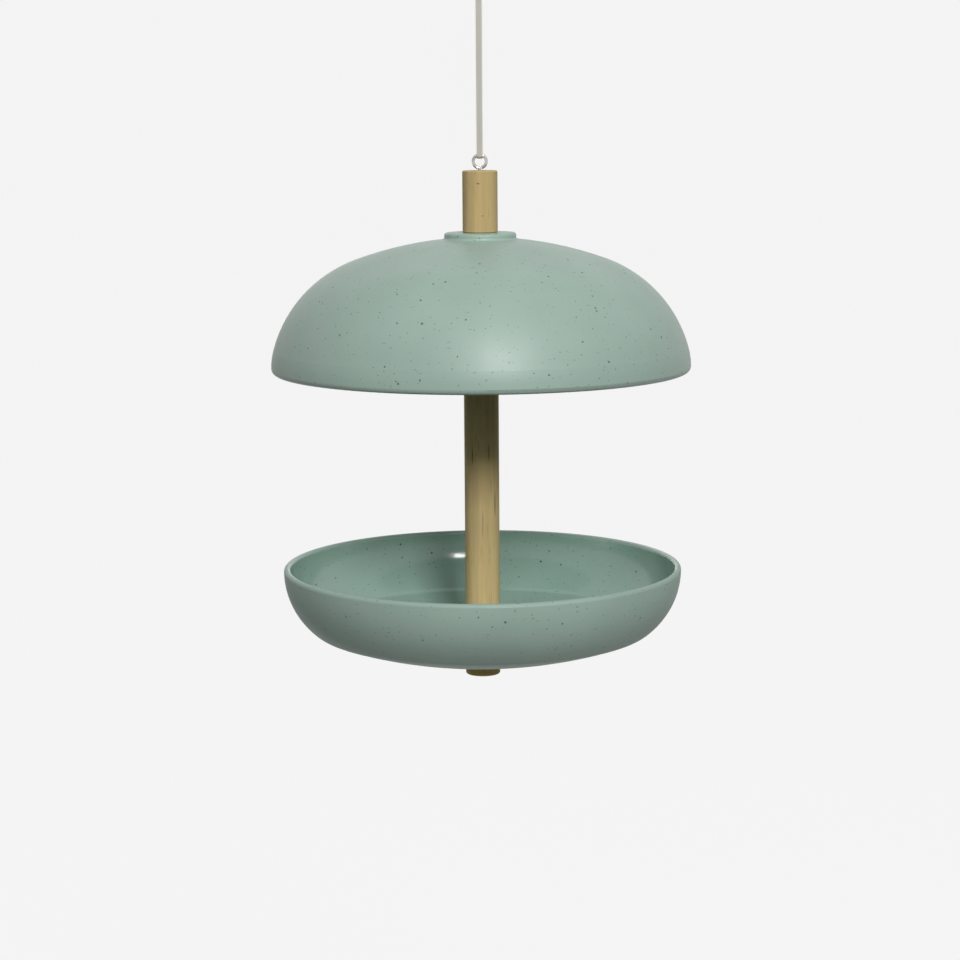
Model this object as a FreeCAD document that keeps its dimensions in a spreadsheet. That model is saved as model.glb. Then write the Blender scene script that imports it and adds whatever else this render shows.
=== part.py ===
import FreeCAD, Part
import math
import os
import Sketcher

# A hanging bird feeder in millimetres. A flat cord holds a screw eye in the top of a dowel.
# The dowel is cut in three: a grip above the roof, a post between roof and bowl, and a foot under the bowl.
# Threaded studs run from the post's two ends through the roof and the bowl into the grip and the foot.
# The origin is the top of the cord's loop, where a hook carries it, and Z points up.

doc = FreeCAD.newDocument("feeder")
sheet = doc.addObject("Spreadsheet::Sheet", "Sizes")

# Driving sizes
DRIVING = [
    ("dowel_diameter", 20),
    ("dowel_chamfer", 0.6),
    ("cord_width", 3.4),
    ("cord_thickness", 0.8),
    ("cord_clearance", 0.06),
    ("hook_radius", 5),
    ("loop_length", 98),
    ("knot_flat", 0.8),
    ("knot_height", 6),
    ("tail_rise", 13),
    ("tail_spread", 5),
    ("tail_start", 0.6),
    ("eye_wire", 1.8),
    ("eye_ring_radius", 3.7),
    ("eye_ring_height", 5.1),
    ("eye_neck", 0.3),
    ("eye_shank", 15),
    ("eye_tip", 3),
    ("eye_tip_radius", 0.25),
    ("eye_end_angle", 16),
    ("wood_clearance", 0.05),
    ("pilot_spare", 0.5),
    ("grip_length", 35),
    ("collar_diameter", 41),
    ("collar_rise", 2.75),
    ("collar_round", 1.5),
    ("collar_fillet", 1.5),
    ("roof_radius", 120),
    ("roof_wall", 3.5),
    ("roof_lip", 0.5),
    ("dome_height", 73.25),
    ("roof_side_radius", 38),
    ("roof_side_angle", 15),
    ("roof_shoulder_angle", 70),
    ("roof_socket_depth", 10),
    ("bowl_socket_depth", 5),
    ("socket_wall", 3),
    ("socket_clearance", 0.1),
    ("feeding_gap", 113),
    ("bowl_radius", 115),
    ("bowl_wall", 4),
    ("bowl_depth", 53),
    ("bowl_side_radius", 44),
    ("bowl_side_angle", 50),
    ("bowl_shoulder_radius", 15.8),
    ("seat_radius", 13.5),
    ("seat_gap", 0.05),
    ("foot_height", 9.5),
    ("washer_thickness", 1.2),
    ("washer_clearance", 0.3),
    ("stud_diameter", 6),
    ("stud_pitch", 1),
    ("stud_thread_depth", 0.5),
    ("tooth_half", 0.4),
    ("wood_tooth_half", 0.7),
    ("stud_chamfer", 0.8),
    ("stud_wood_length", 24),
    ("stud_grip_reach", 13),
    ("stud_foot_reach", 7),
    ("stud_hole_clearance", 0.3),
    ("wood_pitch", 2),
    ("insert_diameter", 10),
    ("insert_chamfer", 0.8),
    ("insert_inset", 0.3),
    ("grip_insert_length", 12),
    ("foot_insert_length", 7),
    ("thread_clearance", 0.05),
]

# Sizes worked out from the driving ones
DERIVED = [
    ("dowel_radius", "dowel_diameter / 2"),
    ("dowel_flat", "dowel_radius - dowel_chamfer"),
    ("stud_radius", "stud_diameter / 2"),
    ("stud_flat", "stud_radius - stud_chamfer"),
    ("stud_root", "stud_radius - stud_thread_depth"),
    ("stud_cut", "stud_radius + thread_clearance"),
    ("hole_radius", "stud_radius + stud_hole_clearance"),
    ("pilot_radius", "stud_radius + wood_clearance"),
    ("insert_radius", "insert_diameter / 2"),
    ("insert_flat", "insert_radius - insert_chamfer"),
    ("insert_bore", "stud_radius + thread_clearance"),
    ("insert_hole", "insert_radius + wood_clearance"),
    ("socket_inner", "dowel_radius + socket_clearance"),
    ("socket_outer", "socket_inner + socket_wall"),
    # Heights of the stack, from the loop down
    ("z_eye_wire", "-loop_length"),
    ("z_eye_centre", "z_eye_wire - eye_ring_radius"),
    ("z_grip_top", "z_eye_centre - eye_ring_height"),
    ("z_grip", "z_grip_top - grip_length"),
    ("z_apex", "z_grip - collar_rise"),
    ("z_roof", "z_apex - dome_height - roof_wall + roof_lip"),
    ("z_bowl", "z_roof - feeding_gap - bowl_wall / 2 - bowl_depth"),
    ("z_foot", "z_bowl - seat_gap - foot_height"),
    ("z_bowl_washer", "z_bowl + bowl_wall"),
    ("z_post", "z_bowl_washer + washer_thickness + seat_gap"),
    ("z_roof_washer", "z_apex - roof_wall - washer_thickness"),
    ("post_length", "z_roof_washer - z_post"),
    ("z_roof_stud", "z_roof_washer - stud_wood_length"),
    ("roof_stud_length", "z_grip + stud_grip_reach - z_roof_stud"),
    ("z_bowl_stud", "z_bowl - seat_gap - stud_foot_reach"),
    ("bowl_stud_length", "z_post + stud_wood_length - z_bowl_stud"),
    ("z_grip_insert", "z_grip + insert_inset"),
    ("z_foot_insert", "z_bowl - seat_gap - insert_inset - foot_insert_length"),
    ("z_eye", "z_grip_top - eye_shank"),
    # Cord: two circles joined by straight strands, drawn for the back half
    ("eye_wire_radius", "eye_wire / 2"),
    ("eye_drop", "eye_ring_radius - sqrt(eye_ring_radius ^ 2 - (cord_width / 2) ^ 2)"),
    ("bight_inner", "eye_wire_radius + eye_drop + cord_clearance"),
    ("bight_outer", "bight_inner + cord_thickness"),
    ("hook_outer", "hook_radius + cord_thickness"),
    ("z_cord", "z_eye_wire - bight_outer"),
    ("hook_height", "bight_outer + loop_length - hook_radius"),
    ("strand_sin", "(hook_radius - bight_inner) / (loop_length - hook_radius)"),
    ("strand_cos", "sqrt(1 - strand_sin ^ 2)"),
    ("bight_outer_y", "bight_outer * strand_cos"),
    ("bight_outer_z", "bight_outer - bight_outer * strand_sin"),
    ("bight_inner_y", "bight_inner * strand_cos"),
    ("bight_inner_z", "bight_outer - bight_inner * strand_sin"),
    ("hook_outer_y", "hook_outer * strand_cos"),
    ("hook_outer_z", "hook_height - hook_outer * strand_sin"),
    ("hook_inner_y", "hook_radius * strand_cos"),
    ("hook_inner_z", "hook_height - hook_radius * strand_sin"),
    ("loop_top_outer", "hook_height + hook_outer"),
    ("loop_top_inner", "hook_height + hook_radius"),
    # Knot and its two cord ends
    ("z_knot", "cord_thickness"),
    ("knot_middle", "knot_height / 2"),
    ("knot_radius", "knot_flat + knot_middle"),
    ("tail_top", "knot_middle + tail_rise"),
    ("tail_start_far", "tail_start + cord_thickness"),
    ("tail_end_far", "tail_spread + cord_thickness"),
    # Screw eye: shank, bend and open ring
    ("eye_neck_z", "eye_shank + eye_neck"),
    ("eye_centre_z", "eye_shank + eye_ring_height"),
    ("eye_bend_rise", "eye_ring_height - eye_neck"),
    ("eye_bend_radius", "(eye_bend_rise ^ 2 - eye_ring_radius ^ 2) / (2 * eye_ring_radius)"),
    ("eye_join_x", "eye_bend_radius * eye_ring_radius / (eye_ring_radius + eye_bend_radius)"),
    ("eye_join_z", "eye_centre_z - eye_bend_rise * eye_ring_radius / (eye_ring_radius + eye_bend_radius)"),
    ("eye_end_x", "eye_ring_radius * sin(eye_end_angle)"),
    ("eye_end_z", "eye_centre_z - eye_ring_radius * cos(eye_end_angle)"),
    ("eye_top_z", "eye_centre_z + eye_ring_radius"),
    ("eye_hole_radius", "eye_wire_radius + wood_clearance"),
    # Grip
    ("grip_top_edge", "grip_length - dowel_chamfer"),
    ("eye_hole_end", "grip_length - eye_shank - pilot_spare"),
    ("grip_insert_end", "grip_insert_length + insert_inset + wood_clearance"),
    ("grip_bore_end", "stud_grip_reach + pilot_spare"),
    # Roof: three tangent arcs outside, which meet at the side and shoulder angles, and the same a wall in
    ("side_cos", "cos(roof_side_angle)"),
    ("side_sin", "sin(roof_side_angle)"),
    ("shoulder_cos", "cos(roof_shoulder_angle)"),
    ("shoulder_sin", "sin(roof_shoulder_angle)"),
    ("arc_share", "(side_cos - shoulder_cos) * (1 - shoulder_sin) - shoulder_cos * (shoulder_sin - side_sin)"),
    ("roof_rim", "roof_wall - roof_lip"),
    ("roof_low_x", "roof_radius - roof_rim"),
    ("roof_rim_mid_x", "roof_low_x + roof_rim * sqrt(1 / 2)"),
    ("roof_rim_mid_z", "roof_rim - roof_rim * sqrt(1 / 2)"),
    ("roof_inner_x", "roof_radius - roof_wall"),
    ("roof_reach", "roof_radius - roof_side_radius * (1 - side_cos)"),
    ("roof_climb", "dome_height - roof_side_radius * side_sin"),
    ("roof_shoulder_radius", "(roof_reach * (1 - shoulder_sin) - shoulder_cos * roof_climb) / arc_share"),
    ("roof_crown_radius",
     "((side_cos - shoulder_cos) * roof_climb - (shoulder_sin - side_sin) * roof_reach) / arc_share"),
    ("roof_side_x", "roof_radius - roof_side_radius"),
    ("roof_shoulder_x", "roof_side_x + (roof_side_radius - roof_shoulder_radius) * side_cos"),
    ("roof_shoulder_z", "roof_rim + (roof_side_radius - roof_shoulder_radius) * side_sin"),
    ("roof_crown_z", "roof_rim + dome_height - roof_crown_radius"),
    ("roof_side_end_x", "roof_side_x + roof_side_radius * side_cos"),
    ("roof_side_end_z", "roof_rim + roof_side_radius * side_sin"),
    ("roof_shoulder_end_x", "roof_shoulder_x + roof_shoulder_radius * shoulder_cos"),
    ("roof_shoulder_end_z", "roof_shoulder_z + roof_shoulder_radius * shoulder_sin"),
    ("collar_radius", "collar_diameter / 2"),
    ("collar_fillet_x", "collar_radius + collar_fillet"),
    ("collar_fillet_reach", "roof_crown_radius + collar_fillet"),
    ("collar_fillet_rise", "sqrt(collar_fillet_reach ^ 2 - collar_fillet_x ^ 2)"),
    ("collar_fillet_z", "roof_crown_z + collar_fillet_rise"),
    ("collar_foot_x", "collar_fillet_x * roof_crown_radius / collar_fillet_reach"),
    ("collar_foot_z", "roof_crown_z + collar_fillet_rise * roof_crown_radius / collar_fillet_reach"),
    ("collar_top_z", "roof_rim + dome_height + collar_rise"),
    ("collar_side_z", "collar_top_z - collar_round"),
    ("collar_flat_x", "collar_radius - collar_round"),
    ("roof_hub_z", "roof_rim + dome_height - roof_wall"),
    ("roof_socket_z", "roof_hub_z - roof_socket_depth"),
    ("roof_inner_crown", "roof_crown_radius - roof_wall"),
    ("roof_inner_shoulder", "roof_shoulder_radius - roof_wall"),
    ("roof_inner_side", "roof_side_radius - roof_wall"),
    ("roof_socket_foot_z", "roof_crown_z + sqrt(roof_inner_crown ^ 2 - socket_outer ^ 2)"),
    ("roof_inner_shoulder_x", "roof_shoulder_x + roof_inner_shoulder * shoulder_cos"),
    ("roof_inner_shoulder_z", "roof_shoulder_z + roof_inner_shoulder * shoulder_sin"),
    ("roof_inner_side_x", "roof_side_x + roof_inner_side * side_cos"),
    ("roof_inner_side_z", "roof_rim + roof_inner_side * side_sin"),
    # Bowl: side arc and tighter shoulder arc, then a crown arc that meets the shoulder and the bottom
    ("bowl_side_cos", "cos(bowl_side_angle)"),
    ("bowl_side_sin", "sin(bowl_side_angle)"),
    ("bowl_rim_round", "bowl_wall / 2"),
    ("bowl_top_x", "bowl_radius - bowl_rim_round"),
    ("bowl_top_z", "bowl_depth + bowl_rim_round"),
    ("bowl_rim_out_x", "bowl_top_x + bowl_rim_round * sqrt(1 / 2)"),
    ("bowl_rim_in_x", "bowl_top_x - bowl_rim_round * sqrt(1 / 2)"),
    ("bowl_rim_mid_z", "bowl_depth + bowl_rim_round * sqrt(1 / 2)"),
    ("bowl_inner_x", "bowl_radius - bowl_wall"),
    ("bowl_side_x", "bowl_radius - bowl_side_radius"),
    ("bowl_shoulder_x", "bowl_side_x + (bowl_side_radius - bowl_shoulder_radius) * bowl_side_cos"),
    ("bowl_shoulder_z", "bowl_depth - (bowl_side_radius - bowl_shoulder_radius) * bowl_side_sin"),
    ("bowl_side_end_x", "bowl_side_x + bowl_side_radius * bowl_side_cos"),
    ("bowl_side_end_z", "bowl_depth - bowl_side_radius * bowl_side_sin"),
    ("bowl_crown_square", "bowl_shoulder_x ^ 2 + bowl_shoulder_z ^ 2 - bowl_shoulder_radius ^ 2"),
    ("bowl_crown_radius", "bowl_crown_square / (2 * (bowl_shoulder_z - bowl_shoulder_radius))"),
    ("bowl_crown_gap", "bowl_crown_radius - bowl_shoulder_radius"),
    ("bowl_crown_drop", "bowl_shoulder_z - bowl_crown_radius"),
    ("bowl_shoulder_end_x", "bowl_shoulder_x * bowl_crown_radius / bowl_crown_gap"),
    ("bowl_shoulder_end_z", "bowl_crown_radius + bowl_crown_drop * bowl_crown_radius / bowl_crown_gap"),
    ("seat_edge_z", "bowl_crown_radius - sqrt(bowl_crown_radius ^ 2 - seat_radius ^ 2)"),
    ("bowl_inner_crown", "bowl_crown_radius - bowl_wall"),
    ("bowl_inner_shoulder", "bowl_shoulder_radius - bowl_wall"),
    ("bowl_inner_side", "bowl_side_radius - bowl_wall"),
    ("bowl_socket_z", "bowl_wall + bowl_socket_depth"),
    ("bowl_socket_foot_z", "bowl_crown_radius - sqrt(bowl_inner_crown ^ 2 - socket_outer ^ 2)"),
    ("bowl_inner_shoulder_x", "bowl_shoulder_x * bowl_inner_crown / bowl_crown_gap"),
    ("bowl_inner_shoulder_z", "bowl_crown_radius + bowl_crown_drop * bowl_inner_crown / bowl_crown_gap"),
    ("bowl_inner_side_x", "bowl_side_x + bowl_inner_side * bowl_side_cos"),
    ("bowl_inner_side_z", "bowl_depth - bowl_inner_side * bowl_side_sin"),
    # Post, foot and washers
    ("post_top_edge", "post_length - dowel_chamfer"),
    ("post_hole_low", "stud_wood_length + pilot_spare"),
    ("post_hole_high", "post_length - stud_wood_length - pilot_spare"),
    ("foot_top_edge", "foot_height - dowel_chamfer"),
    ("foot_hole_end", "foot_height - stud_foot_reach - pilot_spare"),
    ("washer_radius", "dowel_radius - washer_clearance"),
    # Studs and inserts: as many whole thread rings as each threaded length has room for
    ("grip_rings", "floor((stud_grip_reach - stud_chamfer - tooth_half) / stud_pitch)"),
    ("foot_rings", "floor((stud_foot_reach - stud_chamfer - tooth_half) / stud_pitch + 0.5)"),
    ("wood_rings", "floor((stud_wood_length - stud_chamfer - wood_tooth_half) / wood_pitch) - 1"),
    ("roof_stud_edge", "roof_stud_length - stud_chamfer"),
    ("bowl_stud_edge", "bowl_stud_length - stud_chamfer"),
    ("roof_stud_rings_z", "roof_stud_length - stud_grip_reach + stud_pitch"),
    ("roof_stud_rings_low", "roof_stud_rings_z - tooth_half"),
    ("roof_stud_rings_high", "roof_stud_rings_z + tooth_half"),
    ("wood_rings_z", "stud_chamfer + wood_pitch"),
    ("wood_rings_low", "wood_rings_z - wood_tooth_half"),
    ("wood_rings_high", "wood_rings_z + wood_tooth_half"),
    ("foot_rings_z", "stud_chamfer + stud_pitch / 2"),
    ("foot_rings_low", "foot_rings_z - tooth_half"),
    ("foot_rings_high", "foot_rings_z + tooth_half"),
    ("bowl_wood_rings_z", "bowl_stud_length - stud_wood_length + wood_pitch"),
    ("bowl_wood_rings_low", "bowl_wood_rings_z - wood_tooth_half"),
    ("bowl_wood_rings_high", "bowl_wood_rings_z + wood_tooth_half"),
    ("grip_insert_edge", "grip_insert_length - insert_chamfer"),
]

rows = [(name, str(number)) for name, number in DRIVING]
rows += [(name, "=" + formula) for name, formula in DERIVED]
for row, (name, text) in enumerate(rows, start=1):
    sheet.set(f"A{row}", name)
    sheet.set(f"B{row}", text)
    sheet.setAlias(f"B{row}", name)
doc.recompute()


def size(name):
    """Number in the sheet. The word zero is nought, and a leading minus turns the sign."""
    if name == "zero":
        return 0.0
    if name.startswith("-"):
        return -float(sheet.get(name[1:]))
    return float(sheet.get(name))


def origin_item(body, role):
    """Plane or axis of a body's own origin."""
    return [item for item in body.Origin.OriginFeatures if item.Role == role][0]


def new_sketch(body, role, name):
    """Empty sketch on one plane of the body's origin."""
    sketch = body.newObject("Sketcher::SketchObject", name)
    sketch.AttachmentSupport = (origin_item(body, role), [""])
    sketch.MapMode = "FlatFace"
    return sketch


def pin_point(sketch, edge, end, across, up):
    """Ties one end of an edge to two sizes, counted from the sketch's origin."""
    for kind, name, axis in (("DistanceX", across, -2), ("DistanceY", up, -1)):
        if name == "zero":
            sketch.addConstraint(Sketcher.Constraint("PointOnObject", edge, end, axis))
            continue
        if name.startswith("-"):
            rule = Sketcher.Constraint(kind, edge, end, -1, 1, -size(name))
        else:
            rule = Sketcher.Constraint(kind, -1, 1, edge, end, size(name))
        number = sketch.addConstraint(rule)
        sketch.setExpression(f"Constraints[{number}]", "Sizes." + name.lstrip("-"))


def add_edge(sketch, first, last, arc):
    """Line or arc between two points, with the ends of the edge that lie on them."""
    if arc is None:
        return sketch.addGeometry(Part.LineSegment(first, last), False), 1, 2
    radius, across, up = arc
    centre = FreeCAD.Vector(size(across), size(up), 0)
    circle = Part.Circle(centre, FreeCAD.Vector(0, 0, 1), size(radius))
    start = math.atan2(first.y - centre.y, first.x - centre.x)
    stop = math.atan2(last.y - centre.y, last.x - centre.x)
    turn = (stop - start) % (2 * math.pi)
    if turn < math.pi:
        return sketch.addGeometry(Part.ArcOfCircle(circle, start, start + turn), False), 1, 2
    back = 2 * math.pi - turn
    return sketch.addGeometry(Part.ArcOfCircle(circle, stop, stop + back), False), 2, 1


def draw(sketch, corners, arcs, closed=True):
    """Chain of edges through corners that are pinned to sizes. An arc gives its radius and centre."""
    points = [FreeCAD.Vector(size(across), size(up), 0) for across, up in corners]
    count = len(corners) if closed else len(corners) - 1
    edges = []
    for number in range(count):
        last = points[(number + 1) % len(points)]
        edges.append(add_edge(sketch, points[number], last, arcs.get(number)))
    for number, (edge, start, stop) in enumerate(edges):
        if closed or number + 1 < count:
            following = edges[(number + 1) % count]
            sketch.addConstraint(Sketcher.Constraint("Coincident", edge, stop, following[0], following[1]))
        pin_point(sketch, edge, start, *corners[number])
        if number in arcs:
            radius = arcs[number][0]
            rule = sketch.addConstraint(Sketcher.Constraint("Radius", edge, size(radius)))
            sketch.setExpression(f"Constraints[{rule}]", "Sizes." + radius)
    if not closed:
        edge, start, stop = edges[-1]
        pin_point(sketch, edge, stop, *corners[-1])


def new_body(label, height):
    """Body of one piece, at its height in the stack."""
    body = doc.addObject("PartDesign::Body", label)
    body.Label = label
    body.setExpression("Placement.Base.z", "Sizes." + height)
    return body


def turned(label, height, corners, arcs=None):
    """Piece turned from a half outline of radius and height."""
    body = new_body(label, height)
    sketch = new_sketch(body, "XZ_Plane", label + "_outline")
    draw(sketch, corners, arcs or {})
    doc.recompute()
    solid = body.newObject("PartDesign::Revolution", label + "_turned")
    solid.Profile = sketch
    solid.ReferenceAxis = (sketch, ["V_Axis"])
    solid.Angle = 360
    body.Tip = solid
    doc.recompute()
    return body


def thread_rings(body, name, low, middle, high, pitch, count):
    """Row of V grooves around a stud, one pitch apart, that stand in for its thread."""
    before = body.Shape.Volume
    sketch = new_sketch(body, "XZ_Plane", name + "_tooth")
    draw(sketch, [("stud_root", middle), ("stud_cut", low), ("stud_cut", high)], {})
    doc.recompute()
    groove = body.newObject("PartDesign::Groove", name + "_groove")
    groove.Profile = sketch
    groove.ReferenceAxis = (sketch, ["V_Axis"])
    groove.Angle = 360
    body.Tip = groove
    doc.recompute()
    one_groove = before - body.Shape.Volume
    pattern = body.newObject("PartDesign::LinearPattern", name + "_row")
    pattern.Originals = [groove]
    pattern.Direction = (origin_item(body, "Z_Axis"), [""])
    pattern.Mode = "Spacing"
    pattern.setExpression("Offset", "Sizes." + pitch)
    pattern.setExpression("Occurrences", "Sizes." + count)
    body.Tip = pattern
    doc.recompute()
    rings = (before - body.Shape.Volume) / one_groove
    print(name, "rings cut", round(rings, 2), "of", size(count))
    if abs(rings - size(count)) > 0.05:
        raise RuntimeError(name + " did not cut all its rings")


# Hanging cord: a flat woven cord through the eye, closed over the hook
cord = new_body("hanging_cord", "z_cord")
cord_outline = new_sketch(cord, "YZ_Plane", "cord_outline")
draw(
    cord_outline,
    [
        ("zero", "zero"),
        ("bight_outer_y", "bight_outer_z"),
        ("hook_outer_y", "hook_outer_z"),
        ("zero", "loop_top_outer"),
        ("zero", "loop_top_inner"),
        ("hook_inner_y", "hook_inner_z"),
        ("bight_inner_y", "bight_inner_z"),
        ("zero", "cord_thickness"),
    ],
    {
        0: ("bight_outer", "zero", "bight_outer"),
        2: ("hook_outer", "zero", "hook_height"),
        4: ("hook_radius", "zero", "hook_height"),
        6: ("bight_inner", "zero", "bight_outer"),
    },
)
doc.recompute()
half_cord = cord.newObject("PartDesign::Pad", "half_cord")
half_cord.Profile = cord_outline
half_cord.SideType = "Symmetric"
half_cord.setExpression("Length", "Sizes.cord_width")
cord.Tip = half_cord
doc.recompute()
whole_cord = cord.newObject("PartDesign::Mirrored", "whole_cord")
whole_cord.Originals = [half_cord]
whole_cord.MirrorPlane = (origin_item(cord, "XZ_Plane"), [""])
cord.Tip = whole_cord
doc.recompute()
bight_middle = size("bight_inner") + size("cord_thickness") / 2
hook_middle = size("hook_radius") + size("cord_thickness") / 2
lean = math.asin(size("strand_sin"))
strand = (size("loop_length") - size("hook_radius")) * math.cos(lean)
cord_length = 2 * strand + (math.pi - 2 * lean) * bight_middle + (math.pi + 2 * lean) * hook_middle
print(f"cord radii: {bight_middle:.2f} mm round the eye, {hook_middle:.2f} mm round the hook")
print(f"cord length {cord_length:.1f} mm, strands {strand:.1f} mm")
cord_volume = cord_length * size("cord_width") * size("cord_thickness")
print(f"cord volume {cord.Shape.Volume:.1f} mm3 against {cord_volume:.1f} mm3 from section times length")

# Knot that closes the cord, with its two cut ends standing up
knot = turned(
    "cord_knot",
    "z_knot",
    [
        ("zero", "zero"),
        ("knot_flat", "zero"),
        ("knot_radius", "knot_middle"),
        ("knot_flat", "knot_height"),
        ("zero", "knot_height"),
    ],
    {
        1: ("knot_middle", "knot_flat", "knot_middle"),
        2: ("knot_middle", "knot_flat", "knot_middle"),
    },
)
tail_outline = new_sketch(knot, "YZ_Plane", "tail_outline")
draw(
    tail_outline,
    [
        ("tail_start", "knot_middle"),
        ("tail_start_far", "knot_middle"),
        ("tail_end_far", "tail_top"),
        ("tail_spread", "tail_top"),
    ],
    {},
)
doc.recompute()
tail = knot.newObject("PartDesign::Pad", "tail")
tail.Profile = tail_outline
tail.SideType = "Symmetric"
tail.setExpression("Length", "Sizes.cord_width")
knot.Tip = tail
doc.recompute()
tails = knot.newObject("PartDesign::Mirrored", "tails")
tails.Originals = [tail]
tails.MirrorPlane = (origin_item(knot, "XZ_Plane"), [""])
knot.Tip = tails
doc.recompute()

# Screw eye: pointed shank, then one wire bent into an open ring that faces the front
eye = new_body("screw_eye", "z_eye")
eye_point = eye.newObject("PartDesign::AdditiveCone", "eye_point")
eye_point.setExpression("Radius1", "Sizes.eye_tip_radius")
eye_point.setExpression("Radius2", "Sizes.eye_wire_radius")
eye_point.setExpression("Height", "Sizes.eye_tip")
eye.Tip = eye_point
doc.recompute()
eye_path = new_sketch(eye, "XZ_Plane", "eye_path")
draw(
    eye_path,
    [
        ("zero", "eye_tip"),
        ("zero", "eye_neck_z"),
        ("-eye_join_x", "eye_join_z"),
        ("zero", "eye_top_z"),
        ("eye_end_x", "eye_end_z"),
    ],
    {
        1: ("eye_bend_radius", "-eye_bend_radius", "eye_neck_z"),
        2: ("eye_ring_radius", "zero", "eye_centre_z"),
        3: ("eye_ring_radius", "zero", "eye_centre_z"),
    },
    closed=False,
)
eye_section = new_sketch(eye, "XY_Plane", "eye_section")
eye_section.setExpression("AttachmentOffset.Base.z", "Sizes.eye_tip")
wire_circle = Part.Circle(FreeCAD.Vector(0, 0, 0), FreeCAD.Vector(0, 0, 1), size("eye_wire_radius"))
eye_section.addGeometry(wire_circle, False)
eye_section.addConstraint(Sketcher.Constraint("Coincident", 0, 3, -1, 1))
wire_rule = eye_section.addConstraint(Sketcher.Constraint("Radius", 0, size("eye_wire_radius")))
eye_section.setExpression(f"Constraints[{wire_rule}]", "Sizes.eye_wire_radius")
doc.recompute()
eye_wire = eye.newObject("PartDesign::AdditivePipe", "eye_wire_run")
eye_wire.Profile = eye_section
eye_wire.Spine = (eye_path, [f"Edge{number}" for number in range(1, 5)])
eye_wire.Mode = "Standard"
eye.Tip = eye_wire
doc.recompute()

# Top grip: dowel with a pilot hole for the eye above and a stepped bore for insert and stud below
turned(
    "top_grip",
    "z_grip",
    [
        ("zero", "grip_bore_end"),
        ("pilot_radius", "grip_bore_end"),
        ("pilot_radius", "grip_insert_end"),
        ("insert_hole", "grip_insert_end"),
        ("insert_hole", "zero"),
        ("dowel_flat", "zero"),
        ("dowel_radius", "dowel_chamfer"),
        ("dowel_radius", "grip_top_edge"),
        ("dowel_flat", "grip_length"),
        ("eye_hole_radius", "grip_length"),
        ("eye_hole_radius", "eye_hole_end"),
        ("zero", "eye_hole_end"),
    ],
)

# Threaded insert in the grip
turned(
    "grip_insert",
    "z_grip_insert",
    [
        ("insert_bore", "zero"),
        ("insert_radius", "zero"),
        ("insert_radius", "grip_insert_edge"),
        ("insert_flat", "grip_insert_length"),
        ("insert_bore", "grip_insert_length"),
    ],
)

# Upper stud: coarse wood thread in the post, machine thread in the grip
roof_stud = turned(
    "roof_stud",
    "z_roof_stud",
    [
        ("zero", "zero"),
        ("stud_flat", "zero"),
        ("stud_radius", "stud_chamfer"),
        ("stud_radius", "roof_stud_edge"),
        ("stud_flat", "roof_stud_length"),
        ("zero", "roof_stud_length"),
    ],
)
thread_rings(
    roof_stud, "roof_wood", "wood_rings_low", "wood_rings_z", "wood_rings_high", "wood_pitch", "wood_rings",
)
thread_rings(
    roof_stud, "roof_metal", "roof_stud_rings_low", "roof_stud_rings_z", "roof_stud_rings_high", "stud_pitch",
    "grip_rings",
)

# Roof: domed shell with a rim rounded by two equal arcs, a low collar on top and a socket for the post inside
turned(
    "roof",
    "z_roof",
    [
        ("roof_low_x", "zero"),
        ("roof_rim_mid_x", "roof_rim_mid_z"),
        ("roof_radius", "roof_rim"),
        ("roof_side_end_x", "roof_side_end_z"),
        ("roof_shoulder_end_x", "roof_shoulder_end_z"),
        ("collar_foot_x", "collar_foot_z"),
        ("collar_radius", "collar_fillet_z"),
        ("collar_radius", "collar_side_z"),
        ("collar_flat_x", "collar_top_z"),
        ("hole_radius", "collar_top_z"),
        ("hole_radius", "roof_hub_z"),
        ("socket_inner", "roof_hub_z"),
        ("socket_inner", "roof_socket_z"),
        ("socket_outer", "roof_socket_z"),
        ("socket_outer", "roof_socket_foot_z"),
        ("roof_inner_shoulder_x", "roof_inner_shoulder_z"),
        ("roof_inner_side_x", "roof_inner_side_z"),
        ("roof_inner_x", "roof_rim"),
        ("roof_inner_x", "roof_lip"),
    ],
    {
        0: ("roof_rim", "roof_low_x", "roof_rim"),
        1: ("roof_rim", "roof_low_x", "roof_rim"),
        2: ("roof_side_radius", "roof_side_x", "roof_rim"),
        3: ("roof_shoulder_radius", "roof_shoulder_x", "roof_shoulder_z"),
        4: ("roof_crown_radius", "zero", "roof_crown_z"),
        5: ("collar_fillet", "collar_fillet_x", "collar_fillet_z"),
        7: ("collar_round", "collar_flat_x", "collar_side_z"),
        14: ("roof_inner_crown", "zero", "roof_crown_z"),
        15: ("roof_inner_shoulder", "roof_shoulder_x", "roof_shoulder_z"),
        16: ("roof_inner_side", "roof_side_x", "roof_rim"),
        18: ("roof_lip", "roof_low_x", "roof_lip"),
    },
)

# Washer between the roof and the post
WASHER = [
    ("hole_radius", "zero"),
    ("washer_radius", "zero"),
    ("washer_radius", "washer_thickness"),
    ("hole_radius", "washer_thickness"),
]
turned("roof_washer", "z_roof_washer", WASHER)

# Post: dowel with a pilot hole for a stud in each end
turned(
    "post",
    "z_post",
    [
        ("pilot_radius", "zero"),
        ("dowel_flat", "zero"),
        ("dowel_radius", "dowel_chamfer"),
        ("dowel_radius", "post_top_edge"),
        ("dowel_flat", "post_length"),
        ("pilot_radius", "post_length"),
        ("pilot_radius", "post_hole_high"),
        ("zero", "post_hole_high"),
        ("zero", "post_hole_low"),
        ("pilot_radius", "post_hole_low"),
    ],
)

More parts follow.
